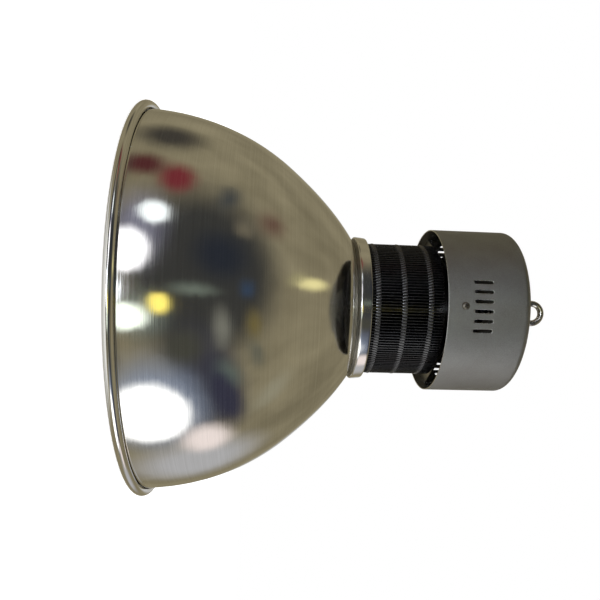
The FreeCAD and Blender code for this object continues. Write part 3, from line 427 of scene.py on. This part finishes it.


# The cross recesses are the same zinc as the heads; their near-black finish is painted shade.
painted_recess_shade = grained("painted_recess_shade", (0.030, 0.028, 0.025), (0.060, 0.056, 0.050), 0.5, 0.7,
                       (1300, 1300, 1300))
screw_zinc = grained("screw_zinc", (0.42, 0.40, 0.36), (0.62, 0.60, 0.56), 0.28, 0.5, (1300, 1300, 1300), 1.0)
board_low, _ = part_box("led_board")
heads_low, heads_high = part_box("led_screws")
M3_HEAD = 0.00275
M3_SHANK = 0.0015
BOARD_SCREW = 0.006
screw_ring("board_screws", "led_screws", 4, 45, (heads_high.x - M3_HEAD) * math.sqrt(2), board_low.z, -1,
           M3_HEAD, board_low.z - heads_low.z, M3_SHANK, BOARD_SCREW, screw_zinc)
M4_HEAD = 0.0039
M4_SHANK = 0.002
RETAINER_SCREW = 0.013
retainer_low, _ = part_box("glass_retainer")
heads_low, heads_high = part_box("neck_screws")
screw_ring("retainer_screws", "neck_screws", 6, 0, heads_high.x - M4_HEAD, retainer_low.z, -1,
           M4_HEAD, retainer_low.z - heads_low.z, M4_SHANK, RETAINER_SCREW, screw_zinc)
dress(screw_zinc, "plate_screws", "driver_screws")


# ---- Cover glass -----------------------------------------------------------------------------
# A toughened glass disc, bedded on a silicone ring and held by a turned aluminium retainer.

glass, tree, shader = new_finish("toughened_glass", (0.96, 0.985, 0.975), 0.02)
shader.inputs["Transmission Weight"].default_value = 1.0
shader.inputs["IOR"].default_value = 1.47
smears = stretched_noise(tree, (25, 40, 25), detail=4.0)
tree.links.new(spread(tree, smears, 0.01, 0.05), shader.inputs["Roughness"])
dress(glass, "cover_glass")
dress(grained("silicone", (0.62, 0.61, 0.58), (0.70, 0.69, 0.66), 0.45, 0.6, (300, 300, 300)), "glass_gasket")

lathed, tree, shader = new_finish("lathed_aluminium", (0.70, 0.70, 0.68), 0.28, 1.0)
face_marks = turned_marks(tree, 2200)
tree.links.new(spread(tree, face_marks, 0.20, 0.36), shader.inputs["Roughness"])
turned = two_tone(tree, face_marks, (0.62, 0.62, 0.60), (0.76, 0.76, 0.74))
tree.links.new(turned, shader.inputs["Base Color"])
dent(tree, shader, face_marks, 0.00003)
dress(lathed, "glass_retainer")


# ---- Driver ----------------------------------------------------------------------------------
# The driver sits on spacers on a pressed, zinc-plated plate whose upturned arms hold the housing.
# Its shell is painted, its end caps and its terminal block are moulded.

dress(grained("zinc_plate", (0.46, 0.45, 0.42), (0.62, 0.61, 0.58), 0.25, 0.42, (60, 60, 60), 1.0, 0.00004),
      "driver_plate", "driver_spacers")
dress(grained("driver_paint", (0.16, 0.16, 0.165), (0.20, 0.20, 0.205), 0.4, 0.55, (800, 800, 800)),
      "driver_case")
dress(grained("moulded_black", (0.018, 0.018, 0.019), (0.028, 0.028, 0.029), 0.42, 0.58, (900, 900, 900)),
      "driver_end_caps", "terminal_block")
dress(grained("lead_jacket", (0.50, 0.04, 0.03), (0.60, 0.06, 0.04), 0.4, 0.5, (400, 400, 400)), "led_lead")


# ---- Driver housing --------------------------------------------------------------------------
# One drawn aluminium cup, blasted to a fine grain and clear anodised. The slots and screw holes
# were pierced after that, so their cut edges are bare and bright, as is the open edge.

silver, tree, shader = new_finish("silver_housing", (0.34, 0.34, 0.33), 0.45, 1.0)
grain = stretched_noise(tree, (1300, 1300, 1300), detail=2.0)
cloud = stretched_noise(tree, (22, 22, 22), detail=4.0)
fine = two_tone(tree, spread(tree, grain, 0, 1), (0.23, 0.235, 0.225), (0.47, 0.475, 0.46))
worn = two_tone(tree, spread(tree, cloud, 0, 1), (0.28, 0.27, 0.25), (0.41, 0.412, 0.405))
tone = two_tone(tree, 0.5, fine, worn)
tree.links.new(tone, shader.inputs["Base Color"])
tree.links.new(spread(tree, grain, 0.50, 0.62), shader.inputs["Roughness"])
dent(tree, shader, grain, 0.00006)
bare_cut = grained("bare_cut", (0.66, 0.66, 0.64), (0.86, 0.86, 0.84), 0.22, 0.34, (900, 900, 900), 1.0)

CORNER = 0.0075
DEBURR = 0.0003
WELD = 0.000002
CUT_ANGLE = 50
OUTWARD = 0.9
SQUARE_OUT = 0.99
wall_low, wall_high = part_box("housing")
mesh = bmesh.new()
mesh.from_mesh(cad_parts["housing"].data)
bmesh.ops.remove_doubles(mesh, verts=mesh.verts, dist=WELD)
rims = [edge for edge in mesh.edges
        if len(edge.link_faces) == 2 and edge.calc_face_angle() > math.radians(CUT_ANGLE)
        and max(corner.co.z for corner in edge.verts) < wall_high.z - CORNER]
bmesh.ops.bevel(mesh, geom=rims, offset=DEBURR, segments=1, affect="EDGES")
mesh.normal_update()
for face in mesh.faces:
    middle = face.calc_center_median()
    outward = Vector((middle.x, middle.y, 0)).normalized()
    face.material_index = int(middle.z < wall_high.z - CORNER and abs(face.normal.dot(outward)) < OUTWARD)
shell = new_piece("deburred_housing", mesh, [silver, bare_cut], "silver_housing", "housing").data
normals = [(0, 0, 0)] * len(shell.loops)
for face in shell.polygons:
    outward = Vector((face.center.x, face.center.y, 0)).normalized()
    if abs(face.normal.dot(outward)) > SQUARE_OUT and face.center.z < wall_high.z - CORNER:
        side = math.copysign(1, face.normal.dot(outward))
        for loop in face.loop_indices:
            corner = shell.vertices[shell.loops[loop].vertex_index].co
            normals[loop] = Vector((corner.x * side, corner.y * side, 0)).normalized()
shell.normals_split_custom_set(normals)

FIRST_SCREW = -90
SIDE_SCREW = 0.007
screws_low, screws_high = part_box("housing_screws")
aged_zinc = grained("aged_zinc", (0.16, 0.15, 0.13), (0.34, 0.32, 0.28), 0.26, 0.42, (1100, 1100, 1100), 1.0)
screw_level = (screws_low.z + screws_high.z) / 2
screw_ring("side_screws", "housing_screws", 3, FIRST_SCREW, wall_high.x, screw_level, 0,
           M4_HEAD, wall_low.y - screws_low.y, M4_SHANK, SIDE_SCREW, aged_zinc)


# ---- Lifting eye -----------------------------------------------------------------------------
# A forged and zinc-plated eye bolt, locked through the housing's top by a nut, a spring washer
# and plain washers. Its shank is threaded up to the neck of the eye.

zinc, tree, shader = new_finish("bright_zinc", (0.60, 0.58, 0.54), 0.26, 1.0)
mottle = stretched_noise(tree, (260, 260, 260), detail=4.0)
tree.links.new(two_tone(tree, mottle, (0.44, 0.42, 0.38), (0.74, 0.72, 0.67)), shader.inputs["Base Color"])
tree.links.new(spread(tree, mottle, 0.12, 0.26), shader.inputs["Roughness"])
skin = dent(tree, shader, mottle, 0.00008)
THREAD_PITCH = 0.0015
EYE_HEIGHT = 0.0323
WAVE_LENGTH = 2 * math.pi / 20    # of a wave texture whose scale is 1
where = add_node(tree, "ShaderNodeTexCoord").outputs["Object"]
waves = add_node(tree, "ShaderNodeTexWave", {"Vector": where, "Scale": WAVE_LENGTH / THREAD_PITCH},
                 wave_type="BANDS", bands_direction="Z")
threaded = add_node(tree, "ShaderNodeMath", operation="LESS_THAN")
tree.links.new(add_node(tree, "ShaderNodeSeparateXYZ", {"Vector": where}).outputs["Z"], threaded.inputs[0])
threaded.inputs[1].default_value = cad_high.z - EYE_HEIGHT
ridges = add_node(tree, "ShaderNodeMath", operation="MULTIPLY")
tree.links.new(waves.outputs["Fac"], ridges.inputs[0])
tree.links.new(threaded.outputs[0], ridges.inputs[1])
dent(tree, shader, ridges.outputs[0], 0.0006, under=skin)
dress(zinc, "eye_bolt")
dress(grained("washer_zinc", (0.48, 0.46, 0.42), (0.68, 0.66, 0.62), 0.22, 0.4, (350, 350, 350), 1.0,
              0.00006),
      "eye_washer", "eye_spring_washer", "eye_nut_outer", "eye_load_washer", "eye_nut_inner")


# ---- Cable gland -----------------------------------------------------------------------------
# A black nylon gland behind the eye: body, cap and locknut, with a rubber seal and washer.

dress(grained("gland_nylon", (0.014, 0.014, 0.015), (0.024, 0.024, 0.025), 0.35, 0.5, (700, 700, 700)),
      "gland_body", "gland_cap", "gland_locknut")
dress(grained("gland_rubber", (0.010, 0.010, 0.010), (0.018, 0.018, 0.018), 0.65, 0.8, (500, 500, 500)),
      "gland_seal", "gland_washer")


# ---- Studio ----------------------------------------------------------------------------------
# A pale floor in a white surround with soft lamps. The bare metal mirrors a painted dim room instead:
# soft ovals of painted reflection, with a few painted highlights in it, which glossy rays alone see.

world = bpy.data.worlds.new("surround")
bpy.context.scene.world = world
world.use_nodes = True
tree = world.node_tree
background = tree.nodes["Background"]
gaze = add_node(tree, "ShaderNodeTexCoord").outputs["Generated"]
REACH = 1.9


def paint_reflection_spot(tree, under, azimuth, elevation, width, height, core, colour):
    """Paint a soft oval over a colour: its middle and half widths in degrees, its core as a share.

    Azimuth 0 is -Y and 90 is +X. REACH keeps the oval from showing on the opposite side as well.
    """
    a, e = math.radians(azimuth), math.radians(elevation)
    middle = (math.sin(a) * math.cos(e), -math.cos(a) * math.cos(e), math.sin(e))
    local = add_node(tree, "ShaderNodeMapping", {
        "Vector": gaze, "Location": middle, "Rotation": (0, -e, a - math.pi / 2),
        "Scale": (REACH, math.sin(math.radians(width)), math.sin(math.radians(height))),
    }, vector_type="TEXTURE")
    away = add_node(tree, "ShaderNodeVectorMath", operation="LENGTH")
    tree.links.new(local.outputs["Vector"], away.inputs[0])
    fade = add_node(tree, "ShaderNodeMapRange", {
        "Value": away.outputs["Value"], "From Min": 1.0, "From Max": core, "To Min": 0.0, "To Max": 1.0,
    }, interpolation_type="SMOOTHSTEP")
    return two_tone(tree, fade.outputs["Result"], under, colour)


# azimuth, elevation, half width, half height, core, colour
# every row is painted reflection, which glossy rays alone see
PAINTED_ROOM = [
    (0, -90, 48, 48, 0.6, (0.60, 0.60, 0.59)),          # painted reflection of the pale floor, and its near part
    (10, -52, 60, 28, 0.5, (0.90, 0.90, 0.88)),
    (-15, 30, 85, 52, 0.55, (0.040, 0.040, 0.038)),     # the dim half in front of the lamp
    (55, 28, 50, 22, 0.4, (0.050, 0.050, 0.062)),
    (-105, 0, 18, 14, 0.2, (0.050, 0.045, 0.038)),
    (-80, 50, 14, 10, 0.0, (0.13, 0.075, 0.055)),
    (-57, 42, 9, 7, 0.0, (0.16, 0.14, 0.10)),
    (-72, 30, 16, 7, 0.0, (0.055, 0.060, 0.062)),
    (-30, 36, 20, 20, 0.2, (0.020, 0.024, 0.034)),
    (-10, 52, 8, 6, 0.0, (0.035, 0.060, 0.11)),
    (22, 56, 13, 7, 0.0, (0.17, 0.135, 0.05)),
    (20, 39, 17, 7, 0.1, (0.20, 0.20, 0.17)),
    (57, 36, 16, 10, 0.0, (0.13, 0.17, 0.145)),
    (50, 54, 14, 6, 0.0, (0.13, 0.13, 0.10)),
    (-5, 25, 6, 18, 0.0, (0.16, 0.19, 0.16)),
    (96, 48, 10, 16, 0.1, (0.30, 0.28, 0.20)),
    (-87, 79, 11, 4.5, 0.2, (0.95, 0.86, 0.42)),
    (-60, 75, 9, 4, 0.0, (0.34, 0.31, 0.17)),
    (-72, 9, 15, 10, 0.25, (0.175, 0.026, 0.034)),
    (-78, -4, 12, 12, 0.2, (0.085, 0.022, 0.024)),
    (-38, -2, 32, 17, 0.1, (0.19, 0.19, 0.26)),         # haze round the bright things
    (10, 2, 20, 18, 0.0, (0.16, 0.19, 0.17)),
    (66, 4, 44, 28, 0.3, (0.26, 0.31, 0.42)),
    (118, 8, 30, 24, 0.3, (0.46, 0.46, 0.48)),
    (70, 33, 34, 9, 0.3, (0.035, 0.035, 0.060)),
    (30, 20, 16, 14, 0.2, (0.060, 0.060, 0.048)),
    (-47, 4, 9, 8, 0.45, (1.35, 1.45, 1.50)),           # the bright things, painted highlights
    (-24.5, -6, 15, 12, 0.55, (1.9, 1.9, 2.0)),
    (11.5, -5, 9.5, 12, 0.5, (1.6, 1.75, 1.55)),
    (4, 9.5, 8, 7, 0.35, (1.45, 1.20, 0.26)),
    (70, 1, 24, 19, 0.6, (2.1, 2.1, 2.1)),
    (98, 17, 17, 12, 0.3, (0.95, 0.84, 0.82)),
    (168, 6, 14, 12, 0.1, (0.60, 0.60, 0.60)),
    (-166, 6, 12, 12, 0.1, (0.55, 0.55, 0.54)),
    (-20, -21, 88, 11, 0.7, (0.035, 0.035, 0.040)),     # a painted dark band, and the painted highlight the fins glint in
    (-4, -15, 13, 8, 0.2, (9.0, 9.5, 10.5)),
]
drift = add_node(tree, "ShaderNodeTexNoise", {"Vector": gaze, "Scale": 3.0, "Detail": 3.0, "Roughness": 0.55})
painted_reflection = two_tone(tree, spread(tree, drift.outputs["Fac"], 0, 1),
                    (0.19, 0.165, 0.105), (0.29, 0.255, 0.165))
for spot in PAINTED_ROOM:
    painted_reflection = paint_reflection_spot(tree, painted_reflection, *spot)
path = add_node(tree, "ShaderNodeLightPath").outputs
# Glossy rays see the painted reflection, and all other rays see white.
tree.links.new(two_tone(tree, path["Is Glossy Ray"], (1, 1, 1), painted_reflection), background.inputs["Color"])
FILL = 0.45


def seen_directly(tree, low, high):
    """High for camera, glossy and transmission rays, low for all others."""
    path = add_node(tree, "ShaderNodeLightPath").outputs
    either = path["Is Camera Ray"]
    for other in ("Is Glossy Ray", "Is Transmission Ray"):
        larger = add_node(tree, "ShaderNodeMath", operation="MAXIMUM")
        tree.links.new(either, larger.inputs[0])
        tree.links.new(path[other], larger.inputs[1])
        either = larger.outputs[0]
    return spread(tree, either, low, high, 0.0, 1.0)


tree.links.new(seen_directly(tree, FILL, 1.0), background.inputs["Strength"])

FLOOR_SIZE = 6.0
FLOOR_GAP = 0.0003
FLOOR_GLOW = 0.6
mesh = bmesh.new()
bmesh.ops.create_grid(mesh, x_segments=1, y_segments=1, size=FLOOR_SIZE / 2)
floor_mesh = bpy.data.meshes.new("floor")
mesh.to_mesh(floor_mesh)
mesh.free()
floor = bpy.data.objects.new("floor", floor_mesh)
floor.location = (0, 0, cad_low.z - FLOOR_GAP)
bpy.context.collection.objects.link(floor)
pale = bpy.data.materials.new("pale_floor")
pale.use_nodes = True
tree = pale.node_tree
tree.nodes.remove(tree.nodes["Principled BSDF"])
matt = add_node(tree, "ShaderNodeBsdfDiffuse", {"Color": (0.8, 0.8, 0.8, 1)})
glow = add_node(tree, "ShaderNodeEmission",
                {"Color": (1, 1, 1, 1), "Strength": seen_directly(tree, 0.0, FLOOR_GLOW)})
both = add_node(tree, "ShaderNodeAddShader")
tree.links.new(matt.outputs[0], both.inputs[0])
tree.links.new(glow.outputs[0], both.inputs[1])
tree.links.new(both.outputs[0], tree.nodes["Material Output"].inputs["Surface"])
floor.data.materials.append(pale)
# The floor is hidden from glossy rays, and its reflection is painted into the world instead.
floor.visible_glossy = False


def soft_lamp(name, azimuth, elevation, distance, size, power):
    """A square softbox that faces the middle of the lamp."""
    panel = bpy.data.lights.new(name, "AREA")
    panel.size = size
    panel.energy = power
    holder = bpy.data.objects.new(name, panel)
    bpy.context.collection.objects.link(holder)
    a, e = math.radians(azimuth), math.radians(elevation)
    away = Vector((math.sin(a) * math.cos(e), -math.cos(a) * math.cos(e), math.sin(e)))
    holder.location = (cad_low + cad_high) / 2 + away * distance
    holder.rotation_euler = away.to_track_quat("Z", "Y").to_euler()
    holder.visible_glossy = False


# azimuth, elevation, distance, size, power
soft_lamp("key", 60, 45, 1.8, 1.2, 24)
soft_lamp("side", -60, 30, 2.0, 1.2, 12)
soft_lamp("back", 170, 50, 2.0, 1.2, 12)


# ---- Camera ----------------------------------------------------------------------------------
# The lamp is seen from the side with its mouth to the left, so the camera lies on its side: it
# stands level with the bell and is turned a little towards the lifting eye.

BELL_TO_CAMERA = 0.6633
CAMERA_HEIGHT = 0.12285
CAMERA_SIDE = math.radians(3.5)
TURN_UP = 0.0732
TURN_ASIDE = 0.0623
ROLL = 0.0302
LENS = 35.8
SHIFT = (-0.0119, 0.0733)

ahead = Vector((math.sin(TURN_ASIDE), math.cos(TURN_UP) * math.cos(TURN_ASIDE),
                math.sin(TURN_UP) * math.cos(TURN_ASIDE)))
level_right = Vector((0, -math.sin(TURN_UP), math.cos(TURN_UP)))
level_up = level_right.cross(ahead)
right = math.cos(ROLL) * level_right + math.sin(ROLL) * level_up
up = math.cos(ROLL) * level_up - math.sin(ROLL) * level_right
pose = Matrix((right, up, -ahead)).transposed().to_4x4()
pose.translation = Vector((0, -BELL_TO_CAMERA, CAMERA_HEIGHT))
lens = bpy.data.cameras.new("camera")
lens.sensor_width = 36
lens.lens = LENS
lens.shift_x, lens.shift_y = SHIFT
lens.clip_start = 0.01
lens.clip_end = 50
camera = bpy.data.objects.new("camera", lens)
bpy.context.collection.objects.link(camera)
camera.matrix_world = Matrix.Rotation(CAMERA_SIDE, 4, "Z") @ pose
bpy.context.scene.camera = camera
bpy.context.scene.view_settings.view_transform = "Standard"
